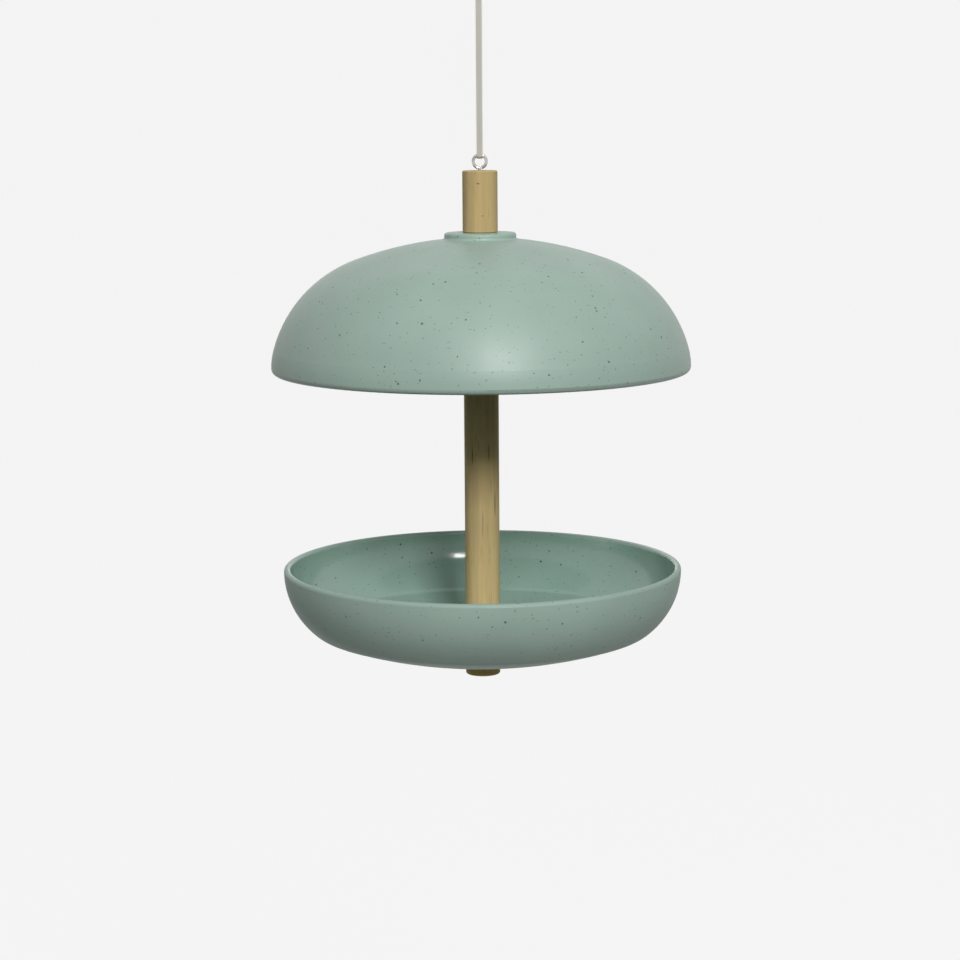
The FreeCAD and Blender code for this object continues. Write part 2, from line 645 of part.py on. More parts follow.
# Lower stud: machine thread down into the foot, wood thread up in the post
bowl_stud = turned(
    "bowl_stud",
    "z_bowl_stud",
    [
        ("zero", "zero"),
        ("stud_flat", "zero"),
        ("stud_radius", "stud_chamfer"),
        ("stud_radius", "bowl_stud_edge"),
        ("stud_flat", "bowl_stud_length"),
        ("zero", "bowl_stud_length"),
    ],
)
thread_rings(
    bowl_stud, "bowl_metal", "foot_rings_low", "foot_rings_z", "foot_rings_high", "stud_pitch", "foot_rings",
)
thread_rings(
    bowl_stud, "bowl_wood", "bowl_wood_rings_low", "bowl_wood_rings_z", "bowl_wood_rings_high", "wood_pitch",
    "wood_rings",
)

# Washer between the post and the bowl
turned("bowl_washer", "z_bowl_washer", WASHER)

# Bowl: shell with a rim rounded by four equal arcs, a flat seat for the foot and a socket ring for the post
turned(
    "bowl",
    "z_bowl",
    [
        ("hole_radius", "zero"),
        ("seat_radius", "zero"),
        ("seat_radius", "seat_edge_z"),
        ("bowl_shoulder_end_x", "bowl_shoulder_end_z"),
        ("bowl_side_end_x", "bowl_side_end_z"),
        ("bowl_radius", "bowl_depth"),
        ("bowl_rim_out_x", "bowl_rim_mid_z"),
        ("bowl_top_x", "bowl_top_z"),
        ("bowl_rim_in_x", "bowl_rim_mid_z"),
        ("bowl_inner_x", "bowl_depth"),
        ("bowl_inner_side_x", "bowl_inner_side_z"),
        ("bowl_inner_shoulder_x", "bowl_inner_shoulder_z"),
        ("socket_outer", "bowl_socket_foot_z"),
        ("socket_outer", "bowl_socket_z"),
        ("socket_inner", "bowl_socket_z"),
        ("socket_inner", "bowl_wall"),
        ("hole_radius", "bowl_wall"),
    ],
    {
        2: ("bowl_crown_radius", "zero", "bowl_crown_radius"),
        3: ("bowl_shoulder_radius", "bowl_shoulder_x", "bowl_shoulder_z"),
        4: ("bowl_side_radius", "bowl_side_x", "bowl_depth"),
        5: ("bowl_rim_round", "bowl_top_x", "bowl_depth"),
        6: ("bowl_rim_round", "bowl_top_x", "bowl_depth"),
        7: ("bowl_rim_round", "bowl_top_x", "bowl_depth"),
        8: ("bowl_rim_round", "bowl_top_x", "bowl_depth"),
        9: ("bowl_inner_side", "bowl_side_x", "bowl_depth"),
        10: ("bowl_inner_shoulder", "bowl_shoulder_x", "bowl_shoulder_z"),
        11: ("bowl_inner_crown", "zero", "bowl_crown_radius"),
    },
)

# Foot knob: short dowel that screws up under the bowl
turned(
    "foot_knob",
    "z_foot",
    [
        ("zero", "zero"),
        ("dowel_flat", "zero"),
        ("dowel_radius", "dowel_chamfer"),
        ("dowel_radius", "foot_top_edge"),
        ("dowel_flat", "foot_height"),
        ("insert_hole", "foot_height"),
        ("insert_hole", "foot_hole_end"),
        ("zero", "foot_hole_end"),
    ],
)

# Threaded insert in the foot
turned(
    "foot_insert",
    "z_foot_insert",
    [
        ("insert_bore", "zero"),
        ("insert_flat", "zero"),
        ("insert_radius", "insert_chamfer"),
        ("insert_radius", "foot_insert_length"),
        ("insert_bore", "foot_insert_length"),
    ],
)

# Check every object, then write one file for each piece
doc.recompute()
for item in doc.Objects:
    if "Invalid" in item.State or "Error" in item.State:
        raise RuntimeError(item.Label + " is in state " + ", ".join(item.State))
os.makedirs("parts", exist_ok=True)
for body in [item for item in doc.Objects if item.TypeId == "PartDesign::Body"]:
    shape = body.Shape
    if shape.isNull() or not shape.isValid() or len(shape.Solids) != 1:
        raise RuntimeError(body.Label + " is not one valid solid")
    shape.exportStep("parts/" + body.Label + ".step")
    box = shape.optimalBoundingBox()
    reach = f"z {box.ZMin:.2f} to {box.ZMax:.2f}, width {box.XLength:.2f}"
    print(f"{body.Label}: volume {shape.Volume:.1f} mm3, {reach}")
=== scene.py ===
import math

import bmesh
import bpy
from mathutils import Matrix, Vector


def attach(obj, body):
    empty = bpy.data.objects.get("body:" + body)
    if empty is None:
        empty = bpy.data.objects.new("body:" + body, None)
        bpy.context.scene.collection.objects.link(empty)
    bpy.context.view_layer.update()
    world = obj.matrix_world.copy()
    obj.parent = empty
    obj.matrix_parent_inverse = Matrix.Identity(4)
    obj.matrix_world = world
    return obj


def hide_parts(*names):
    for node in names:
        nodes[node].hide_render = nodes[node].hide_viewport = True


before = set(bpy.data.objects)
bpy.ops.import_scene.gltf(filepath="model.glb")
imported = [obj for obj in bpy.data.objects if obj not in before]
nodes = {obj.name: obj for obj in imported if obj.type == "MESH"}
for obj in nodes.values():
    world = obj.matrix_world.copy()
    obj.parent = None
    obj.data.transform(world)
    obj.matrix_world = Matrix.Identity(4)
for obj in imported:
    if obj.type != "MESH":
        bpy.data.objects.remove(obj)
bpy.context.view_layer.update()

# Hanging cord: flat cotton tape in a herringbone weave, 3.4 mm wide and 0.8 mm thick.
# It leaves the knot, runs down behind the hook, turns under the top of the screw eye
# and comes up again in front, so that the eye hangs in a long narrow loop.
TAPE_WIDTH = 0.0034
TAPE_THICK = 0.0008
TAPE_SIDES = 16
EDGE_ROUNDNESS = 0.5
STEPS_PER_POINT = 14
CORD_ROUTE = [
    (0.0, 0.0, 0.0004),
    (0.0, 0.0051, 0.0004),
    (0.0, 0.0052, -0.0096),
    (0.0, 0.0046, -0.0254),
    (0.0, 0.00254, -0.0776),
    (0.0, 0.0018, -0.0970),
    (0.0, 0.00177, -0.09977),
    (0.0, -0.00177, -0.09977),
    (0.0, -0.0018, -0.0970),
    (0.0, -0.00254, -0.0776),
    (0.0, -0.0046, -0.0254),
    (0.0, -0.0052, -0.0096),
    (0.0, -0.0051, 0.0004),
    (0.0, 0.0, 0.0004),
]


def smooth_line(route):
    """Points on a smooth line that takes the route's points as its control points."""
    curve = bpy.data.curves.new("route", "CURVE")
    curve.dimensions = "3D"
    curve.resolution_u = STEPS_PER_POINT
    spline = curve.splines.new("NURBS")
    spline.points.add(len(route) - 1)
    for point, (x, y, z) in zip(spline.points, route):
        point.co = (x, y, z, 1.0)
    spline.order_u = 3
    spline.use_endpoint_u = True
    holder = bpy.data.objects.new("route", curve)
    mesh = bpy.data.meshes.new_from_object(holder)
    points = [vertex.co.copy() for vertex in mesh.vertices]
    bpy.data.meshes.remove(mesh)
    bpy.data.objects.remove(holder)
    bpy.data.curves.remove(curve)
    return points


def sweep_tape(shape, line, widths, thicknesses):
    """Draws a flat tape with rounded edges along a line.

    Its vertices keep their place along and across the tape, which the weave follows.
    """
    along = shape.verts.layers.float.get("along") or shape.verts.layers.float.new("along")
    across = shape.verts.layers.float.get("across") or shape.verts.layers.float.new("across")
    ring = bmesh.ops.create_circle(shape, cap_ends=False, segments=TAPE_SIDES, radius=1.0)["verts"]
    for vertex in ring:
        vertex.co.x = math.copysign(abs(vertex.co.x) ** EDGE_ROUNDNESS, vertex.co.x)
        vertex.co.y = math.copysign(abs(vertex.co.y) ** EDGE_ROUNDNESS, vertex.co.y)
        vertex[across] = vertex.co.x * TAPE_WIDTH / 2
    corners = set(ring)
    edges = [edge for edge in shape.edges if corners.issuperset(edge.verts)]
    ends = list(edges)
    last = len(line) - 1
    side = Vector((1.0, 0.0, 0.0))
    before = Matrix.Identity(4)
    travelled = 0.0
    for step, place in enumerate(line):
        if step > 0:
            travelled += (place - line[step - 1]).length
            grown = bmesh.ops.extrude_edge_only(shape, edges=edges)["geom"]
            ring = [part for part in grown if isinstance(part, bmesh.types.BMVert)]
            corners = set(ring)
            grown_edges = [part for part in grown if isinstance(part, bmesh.types.BMEdge)]
            edges = [edge for edge in grown_edges if corners.issuperset(edge.verts)]
        forward = (line[min(step + 1, last)] - line[max(step - 1, 0)]).normalized()
        side = (side - forward * side.dot(forward)).normalized()
        lift = forward.cross(side)
        half_width = side * widths[step] / 2
        half_thickness = lift * thicknesses[step] / 2
        turn = Matrix((half_width, half_thickness, forward)).transposed().to_4x4()
        here = Matrix.Translation(place) @ turn
        bmesh.ops.transform(shape, matrix=here @ before.inverted(), verts=ring)
        before = here
        for vertex in ring:
            vertex[along] = travelled
    bmesh.ops.holes_fill(shape, edges=ends + edges, sides=0)


def finish_mesh(name, shape, body):
    """Turns a modelled shape into a smooth piece that rides on a body."""
    bmesh.ops.recalc_face_normals(shape, faces=shape.faces)
    for face in shape.faces:
        face.smooth = True
    mesh = bpy.data.meshes.new(name)
    shape.to_mesh(mesh)
    shape.free()
    piece = bpy.data.objects.new(name, mesh)
    bpy.context.scene.collection.objects.link(piece)
    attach(piece, body)
    return piece


def put(tree, kind, inputs=None, **options):
    """Adds a node. An input takes a value, or a link from another node's output."""
    node = tree.nodes.new(kind)
    for option, value in options.items():
        setattr(node, option, value)
    for socket, value in (inputs or {}).items():
        if isinstance(value, bpy.types.NodeSocket):
            tree.links.new(value, node.inputs[socket])
        else:
            node.inputs[socket].default_value = value
    return node


def sums(tree, operation, first, second=0.0, third=0.0, clamp=False):
    """One step of arithmetic."""
    inputs = {0: first, 1: second, 2: third}
    return put(tree, "ShaderNodeMath", inputs, operation=operation, use_clamp=clamp).outputs[0]


def fade(tree, value, low, high, out_low=0.0, out_high=1.0):
    """Soft step from one level to another as the value goes from low to high."""
    inputs = {"Value": value, "From Min": low, "From Max": high, "To Min": out_low, "To Max": out_high}
    return put(tree, "ShaderNodeMapRange", inputs, interpolation_type="SMOOTHSTEP").outputs[0]


def tint(tree, share, first, second, blend="MIX"):
    """Colour between two colours."""
    # A colour mix takes its share in socket 0 and its colours in 6 and 7, and gives socket 2.
    inputs = {0: share, 6: first, 7: second}
    return put(tree, "ShaderNodeMix", inputs, data_type="RGBA", blend_type=blend).outputs[2]


def clouds(tree, vector, scale, detail=2.0, roughness=0.5):
    """Soft noise from 0 to 1."""
    inputs = {"Vector": vector, "Scale": scale, "Detail": detail, "Roughness": roughness}
    return put(tree, "ShaderNodeTexNoise", inputs).outputs[0]


def wave(tree, distance, pitch):
    """Even wave from 0 to 1 that repeats at the pitch."""
    swing = sums(tree, "SINE", sums(tree, "MULTIPLY", distance, 2 * math.pi / pitch))
    return sums(tree, "MULTIPLY_ADD", swing, 0.5, 0.5)


def new_finish(name):
    """Empty material with one shader."""
    material = bpy.data.materials.new(name)
    material.use_nodes = True
    tree = material.node_tree
    return material, tree, tree.nodes["Principled BSDF"]


def raise_surface(tree, shader, height, distance, strength=1.0):
    """Lets a height pattern shape the light on the surface."""
    bump = put(tree, "ShaderNodeBump", {"Height": height, "Distance": distance, "Strength": strength})
    tree.links.new(bump.outputs[0], shader.inputs["Normal"])


cord_line = smooth_line(CORD_ROUTE)
cord_shape = bmesh.new()
sweep_tape(cord_shape, cord_line, [TAPE_WIDTH] * len(cord_line), [TAPE_THICK] * len(cord_line))
cord = finish_mesh("hanging_tape", cord_shape, "hanger")
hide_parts("hanging_cord")

YARN_PITCH = 0.00130
PICK_PITCH = 0.00065
PICK_SHARE = 0.35
SPINE_HALF = 0.0002
SPINE_SHADE_AND_DEPTH = 0.45
FLUFF_SCALE = 5200.0
FLUFF_SHARE = 0.3
FLUFF_HEIGHT = 0.4
SOIL_SCALE = 160.0
SOIL_SHARE = 0.22
WEAVE_RELIEF = 0.00012
COTTON_HOLLOW_SHADE = (0.27, 0.25, 0.21, 1.0)
COTTON_PALE = (0.70, 0.68, 0.61, 1.0)
COTTON_SOILED = (0.46, 0.42, 0.34, 1.0)
COTTON_FLUFF = (0.72, 0.70, 0.65, 1.0)
COTTON_ROUGHNESS = 0.88
COTTON_SHEEN = 0.25
cotton, tree, shader = new_finish("herringbone_cotton")
along = put(tree, "ShaderNodeAttribute", attribute_name="along").outputs["Fac"]
across = put(tree, "ShaderNodeAttribute", attribute_name="across").outputs["Fac"]
from_middle = sums(tree, "ABSOLUTE", across)
yarn = wave(tree, sums(tree, "ADD", along, from_middle), YARN_PITCH)
pick = wave(tree, sums(tree, "SUBTRACT", along, from_middle), PICK_PITCH)
weave = sums(tree, "MULTIPLY_ADD", pick, PICK_SHARE, yarn)
# Painted shade: the groove down the middle of the tape is drawn darker as well as lower.
spine = fade(tree, from_middle, low=0.0, high=SPINE_HALF)
spine = sums(tree, "MULTIPLY_ADD", spine, SPINE_SHADE_AND_DEPTH, 1.0 - SPINE_SHADE_AND_DEPTH)
weave = sums(tree, "MULTIPLY", weave, spine)
place = put(tree, "ShaderNodeTexCoord").outputs["Object"]
fluff = clouds(tree, place, FLUFF_SCALE, detail=3.0, roughness=0.6)
soil = clouds(tree, place, SOIL_SCALE, detail=3.0, roughness=0.55)
soiled = fade(tree, soil, low=0.45, high=0.75, out_high=SOIL_SHARE)
fluffy = fade(tree, fluff, low=0.55, high=0.8, out_high=FLUFF_SHARE)
# Painted shade: the hollows between the yarns take the dark colour, where the bump sinks them too.
cotton_colour = tint(tree, weave, COTTON_HOLLOW_SHADE, COTTON_PALE)
cotton_colour = tint(tree, soiled, cotton_colour, COTTON_SOILED)
cotton_colour = tint(tree, fluffy, cotton_colour, COTTON_FLUFF)
tree.links.new(cotton_colour, shader.inputs["Base Color"])
shader.inputs["Roughness"].default_value = COTTON_ROUGHNESS
shader.inputs["Sheen Weight"].default_value = COTTON_SHEEN
raise_surface(tree, shader, sums(tree, "MULTIPLY_ADD", fluff, FLUFF_HEIGHT, weave), WEAVE_RELIEF)
cord.data.materials.append(cotton)

# Knot: the two ends of the same tape, wound tightly round each other above the hook.
# The tape is pressed thick in the knot, and its cut ends stand up flat and spread a little.
KNOT_ROUTE = [
    (0.0, 0.0016, 0.0001),
    (0.0, 0.0006, 0.0009),
    (0.0004, -0.0006, 0.0016),
    (0.0020, -0.0014, 0.0024),
    (0.0026, 0.0006, 0.0031),
    (0.0010, 0.0025, 0.0036),
    (-0.0014, 0.0022, 0.0041),
    (-0.0025, 0.0, 0.0046),
    (-0.0012, -0.0019, 0.0050),
    (0.0006, -0.0012, 0.0058),
    (0.0006, 0.0004, 0.0070),
    (0.0002, 0.0022, 0.0100),
    (0.0, 0.0050, 0.0162),
]
PRESSED_WIDTH = 0.0021
PRESSED_THICK = 0.0013
PRESSED_UP_TO = 0.006
LOOSENS_OVER = 0.004
knot_shape = bmesh.new()
for half_turn in (1.0, -1.0):
    knot_line = smooth_line([(half_turn * x, half_turn * y, z) for x, y, z in KNOT_ROUTE])
    widths = []
    thicknesses = []
    for place_on_line in knot_line:
        loose = min(1.0, max(0.0, (place_on_line.z - PRESSED_UP_TO) / LOOSENS_OVER))
        widths.append(PRESSED_WIDTH + (TAPE_WIDTH - PRESSED_WIDTH) * loose)
        thicknesses.append(PRESSED_THICK + (TAPE_THICK - PRESSED_THICK) * loose)
    sweep_tape(knot_shape, knot_line, widths, thicknesses)
knot = finish_mesh("tied_knot", knot_shape, "hanger")
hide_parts("cord_knot")
knot.data.materials.append(cotton)

# Screw eye: one bright nickel-plated steel wire, bent to an open ring and driven into the grip's top.
# The plating is smooth, with faint draw marks and a few dull patches.
PATCH_SCALE = 420.0
PATCH_ROUGHNESS = 0.10
MARK_ROUGHNESS = 0.10
METAL_BUMP = 0.5
NICKEL_BRIGHT = (0.56, 0.55, 0.53, 1.0)
NICKEL_DULL = (0.34, 0.33, 0.31, 1.0)


def add_sockets(group, way, kind, names):
    """Gives a shared pattern some inputs or outputs of one kind."""
    for name in names:
        group.interface.new_socket(name, in_out=way, socket_type=kind)


def drawn_metal_group():
    """Fine draw marks and dull patches that all the metal pieces share."""
    group = bpy.data.node_groups.new("drawn_metal", "ShaderNodeTree")
    add_sockets(group, "INPUT", "NodeSocketVector", ("Vector",))
    add_sockets(group, "INPUT", "NodeSocketFloat", ("Fineness", "Dullness"))
    add_sockets(group, "OUTPUT", "NodeSocketFloat", ("Patches", "Roughness", "Height"))
    given = put(group, "NodeGroupInput").outputs
    marks = clouds(group, given["Vector"], given["Fineness"], detail=3.0)
    patches = clouds(group, given["Vector"], PATCH_SCALE, detail=3.0, roughness=0.6)
    patches = fade(group, patches, low=0.42, high=0.68)
    rough = sums(group, "MULTIPLY_ADD", patches, PATCH_ROUGHNESS, given["Dullness"])
    rough = sums(group, "MULTIPLY_ADD", marks, MARK_ROUGHNESS, rough)
    put(group, "NodeGroupOutput", {"Patches": patches, "Roughness": rough, "Height": marks})
    return group


drawn_metal = drawn_metal_group()


def metal_finish(name, bright, dull, fineness, dullness, relief):
    """Metal with the shared draw marks, in its own colours."""
    material, tree, shader = new_finish(name)
    place = put(tree, "ShaderNodeTexCoord").outputs["Object"]
    inputs = {"Vector": place, "Fineness": fineness, "Dullness": dullness}
    marks = put(tree, "ShaderNodeGroup", inputs, node_tree=drawn_metal).outputs
    tree.links.new(tint(tree, marks["Patches"], bright, dull), shader.inputs["Base Color"])
    tree.links.new(marks["Roughness"], shader.inputs["Roughness"])
    shader.inputs["Metallic"].default_value = 1.0
    raise_surface(tree, shader, marks["Height"], relief, METAL_BUMP)
    return material


def dress(node, finish):
    """Gives a CAD node its finish."""
    nodes[node].data.materials.clear()
    nodes[node].data.materials.append(finish)


nickel = metal_finish(
    "nickel_plate", NICKEL_BRIGHT, NICKEL_DULL, fineness=3800.0, dullness=0.10, relief=0.00002
)
dress("screw_eye", nickel)

# Top grip: 35 mm of 20 mm beech dowel, sanded and left plain, with the eye in its upper end.
# Beech shows fine straight grain, short darker ray flecks and faint growth rings on its cut ends.
RING_PITCH = 0.0021
RING_WANDER = 0.005
RING_SHARE = 0.12
FIBRE_SHARE = 0.36
STREAK_SHARE = 0.45
PORE_SHARE = 0.42
RAY_SHARE = 0.16
PORE_BROWN = (0.12, 0.065, 0.025, 1.0)
PORE_BROWN_SHARE = 0.72
WOOD_ROUGHNESS = 0.50
FIBRE_ROUGHNESS = 0.18
PORE_HEIGHT = -0.8
MARK_BROWN = (0.085, 0.052, 0.022, 1.0)
CUT_END_BROWN = (0.36, 0.25, 0.12, 1.0)
CUT_END_SHARE = 0.25
WOOD_SHINE = 0.2
GRAIN_RELIEF = 0.00006
GRAIN_BUMP = 0.6


def vectors(tree, operation, first, second):
    """One step of arithmetic on vectors."""
    return put(tree, "ShaderNodeVectorMath", {0: first, 1: second}, operation=operation).outputs[0]


def length_of(tree, vector):
    """Length of a vector."""
    return put(tree, "ShaderNodeVectorMath", {0: vector}, operation="LENGTH").outputs["Value"]


def stretched(tree, vector, scale):
    """Pattern space that is drawn out along its axes."""
    return put(tree, "ShaderNodeMapping", {"Vector": vector, "Scale": scale}).outputs[0]


def along_axis(tree, vector, share):
    """Pattern space that is drawn out along the upright axis. A share of 0 leaves it flat."""
    return stretched(tree, vector, (1.0, 1.0, share))


def dowel_grain_group():
    """Solid beech: growth rings round a pith outside the dowel, fibres, dark pores and ray flecks."""
    group = bpy.data.node_groups.new("dowel_grain", "ShaderNodeTree")
    add_sockets(group, "INPUT", "NodeSocketVector", ("Vector", "Pith"))
    add_sockets(group, "INPUT", "NodeSocketColor", ("Pale", "Deep"))
    add_sockets(group, "OUTPUT", "NodeSocketColor", ("Color",))
    add_sockets(group, "OUTPUT", "NodeSocketFloat", ("Roughness", "Height"))
    given = put(group, "NodeGroupInput").outputs
    place = vectors(group, "SUBTRACT", given["Vector"], given["Pith"])
    radius = length_of(group, along_axis(group, place, share=0.0))
    wander = clouds(group, along_axis(group, place, share=0.25), scale=60.0)
    radius = sums(group, "MULTIPLY_ADD", wander, RING_WANDER, radius)
    rings = sums(group, "FRACT", sums(group, "MULTIPLY", radius, 1 / RING_PITCH))
    rings = fade(group, rings, low=0.35, high=0.95)
    fibres = clouds(group, along_axis(group, place, share=0.02), scale=2400.0)
    streaks = clouds(group, along_axis(group, place, share=0.035), scale=330.0, detail=3.0)
    streaks = fade(group, streaks, low=0.3, high=0.75)
    pores = clouds(group, along_axis(group, place, share=0.05), scale=950.0, detail=0.0)
    pores = fade(group, pores, low=0.72, high=0.84)
    cells = {"Vector": along_axis(group, place, share=0.13), "Scale": 520.0}
    rays = put(group, "ShaderNodeTexVoronoi", cells).outputs["Distance"]
    rays = fade(group, rays, low=0.26, high=0.12)
    depth = sums(group, "MULTIPLY", fibres, FIBRE_SHARE)
    depth = sums(group, "MULTIPLY_ADD", rings, RING_SHARE, depth)
    depth = sums(group, "MULTIPLY_ADD", streaks, STREAK_SHARE, depth, clamp=True)
    colour = tint(group, depth, given["Pale"], given["Deep"])
    brown = tint(group, PORE_BROWN_SHARE, colour, PORE_BROWN)
    colour = tint(group, sums(group, "MULTIPLY", pores, PORE_SHARE), colour, brown)
    colour = tint(group, sums(group, "MULTIPLY", rays, RAY_SHARE), colour, brown)
    rough = sums(group, "MULTIPLY_ADD", fibres, FIBRE_ROUGHNESS, WOOD_ROUGHNESS)
    height = sums(group, "MULTIPLY_ADD", pores, PORE_HEIGHT, fibres)
    put(group, "NodeGroupOutput", {"Color": colour, "Roughness": rough, "Height": height})
    return group


dowel_grain = dowel_grain_group()


def dowel_mark(tree, place, colour, centre, reach, depth):
    """Darkens one small knot or crack. Its reach is half its size along each axis."""
    from_centre = vectors(tree, "SUBTRACT", place, centre)
    away = length_of(tree, vectors(tree, "DIVIDE", from_centre, reach))
    return tint(tree, fade(tree, away, low=1.0, high=0.35, out_high=depth), colour, MARK_BROWN)


def dowel_finish(name, pith, pale, deep, marks=()):
    """Beech with the shared grain, cut from its own place in the tree, and any marks of its own."""
    material, tree, shader = new_finish(name)
    own = put(tree, "ShaderNodeTexCoord").outputs
    place = own["Object"]
    inputs = {"Vector": place, "Pith": pith, "Pale": pale, "Deep": deep}
    grain = put(tree, "ShaderNodeGroup", inputs, node_tree=dowel_grain).outputs
    upright = put(tree, "ShaderNodeSeparateXYZ", {0: own["Normal"]}).outputs["Z"]
    cut_end = fade(tree, sums(tree, "ABSOLUTE", upright), low=0.80, high=0.95, out_high=CUT_END_SHARE)
    colour = tint(tree, cut_end, grain["Color"], CUT_END_BROWN)
    for centre, reach, depth in marks:
        colour = dowel_mark(tree, place, colour, centre, reach, depth)
    tree.links.new(colour, shader.inputs["Base Color"])
    tree.links.new(grain["Roughness"], shader.inputs["Roughness"])
    shader.inputs["Specular IOR Level"].default_value = WOOD_SHINE
    raise_surface(tree, shader, grain["Height"], GRAIN_RELIEF, GRAIN_BUMP)
    return material


GRIP_PALE = (0.515, 0.392, 0.19, 1.0)
GRIP_DEEP = (0.39, 0.278, 0.118, 1.0)
GRIP_PITH = (0.031, 0.012, 0.4)
# Each mark has its centre and its half sizes in metres, and its depth of colour.
GRIP_KNOTS = [
    ((-0.0011, -0.0098, -0.1139), (0.0012, 0.0030, 0.0006), 0.75),
    ((0.0014, -0.0098, -0.1320), (0.0012, 0.0030, 0.0005), 0.45),
]
dress("top_grip", dowel_finish("beech_grip", GRIP_PITH, GRIP_PALE, GRIP_DEEP, GRIP_KNOTS))

# Grip insert: turned brass bush, driven into the lower end of the grip for the stud.
# It is hidden once the feeder is together.
BRASS_BRIGHT = (0.72, 0.52, 0.22, 1.0)
BRASS_DULL = (0.45, 0.30, 0.12, 1.0)
brass = metal_finish(
    "turned_brass", BRASS_BRIGHT, BRASS_DULL, fineness=1500.0, dullness=0.22, relief=0.00004
)
dress("grip_insert", brass)

# Upper stud: zinc-plated steel, coarse thread down in the post and machine thread up in the grip.
# It draws grip and post together and clamps the roof between them.
ZINC_BRIGHT = (0.60, 0.61, 0.63, 1.0)
ZINC_DULL = (0.38, 0.39, 0.41, 1.0)
zinc = metal_finish(
    "zinc_thread", ZINC_BRIGHT, ZINC_DULL, fineness=1800.0, dullness=0.28, relief=0.00003
)
dress("roof_stud", zinc)

# Roof: one moulded dome, 240 mm across with a 3.5 mm wall, a rounded rim and a collar under the grip.
# The material is a plant-fibre moulding compound in sage green, satin, with dark husk flecks
# all through it.
SAGE_PALE = (0.292, 0.396, 0.344, 1.0)
SAGE_DEEP = (0.273, 0.373, 0.323, 1.0)
SAGE_CLOUD_SCALE = 26.0
SAGE_CLOUD_ROUGHNESS = 0.06
SKIN_SCALE = 700.0
SKIN_ROUGHNESS = 0.08
SKIN_RELIEF = 0.00004
SKIN_BUMP = 0.5
RAGGED_SCALE = 1500.0
NOISE_MIDDLE = (0.5, 0.5, 0.5)
SMALL_ONES_PREVAIL = 1.6
FLECK_EDGE = 0.35
FIBRE_DRAWN_OUT = (0.25, 0.25, 1.0)
TURNED_IN = -0.004
# Each kind of fleck has a spacing, a smallest and a largest radius and a raggedness, in metres.
BIG_FLECKS = (0.0062, 0.00030, 0.00088, 0.0013)
SMALL_FLECKS = (0.0030, 0.00026, 0.00064, 0.0009)
DUST_FLECKS = (0.0022, 0.00012, 0.00030, 0.0003)
FIBRE_FLECKS = (0.0040, 0.00026, 0.00050, 0.0003)
BIG_HUSK = (0.035, 0.048, 0.044, 1.0)
SMALL_HUSK = (0.075, 0.10, 0.09, 1.0)
DUST_HUSK = (0.10, 0.14, 0.12, 1.0)
FIBRE_HUSK = (0.10, 0.13, 0.11, 1.0)
BIG_SHARE = 0.82
SMALL_SHARE = 0.55
DUST_SHARE = 0.28
SHORT_FIBRE_SHARE = 0.32
BIG_FLECK_HEIGHT = 0.7


def husk_flecks_group():
    """Ragged specks of ground husk, each in a cell of its own. Largest and smallest are radii."""
    group = bpy.data.node_groups.new("husk_flecks", "ShaderNodeTree")
    add_sockets(group, "INPUT", "NodeSocketVector", ("Vector",))
    add_sockets(group, "INPUT", "NodeSocketFloat", ("Spacing", "Smallest", "Largest", "Raggedness"))
    add_sockets(group, "OUTPUT", "NodeSocketFloat", ("Mask",))
    given = put(group, "NodeGroupInput").outputs
    noise = {"Vector": given["Vector"], "Scale": RAGGED_SCALE, "Detail": 2.0}
    ragged = put(group, "ShaderNodeTexNoise", noise).outputs["Color"]
    push = vectors(group, "SUBTRACT", ragged, NOISE_MIDDLE)
    reach = {0: push, "Scale": given["Raggedness"]}
    push = put(group, "ShaderNodeVectorMath", reach, operation="SCALE").outputs[0]
    place = vectors(group, "ADD", given["Vector"], push)
    scale = sums(group, "DIVIDE", 1.0, given["Spacing"])
    cells = put(group, "ShaderNodeTexVoronoi", {"Vector": place, "Scale": scale}).outputs
    away = sums(group, "MULTIPLY", cells["Distance"], given["Spacing"])
    lot = put(group, "ShaderNodeSeparateColor", {0: cells["Color"]}).outputs[0]
    lot = sums(group, "POWER", lot, SMALL_ONES_PREVAIL)
    spread = sums(group, "SUBTRACT", given["Largest"], given["Smallest"])
    radius = sums(group, "MULTIPLY_ADD", lot, spread, given["Smallest"])
    inside = sums(group, "DIVIDE", sums(group, "SUBTRACT", radius, away), radius)
    put(group, "NodeGroupOutput", {"Mask": fade(group, inside, low=0.0, high=FLECK_EDGE)})
    return group


husk_flecks = husk_flecks_group()


def flecks(tree, vector, sizes):
    """One kind of husk fleck."""
    inputs = dict(zip(("Spacing", "Smallest", "Largest", "Raggedness"), sizes))
    inputs["Vector"] = vector
    return put(tree, "ShaderNodeGroup", inputs, node_tree=husk_flecks).outputs["Mask"]


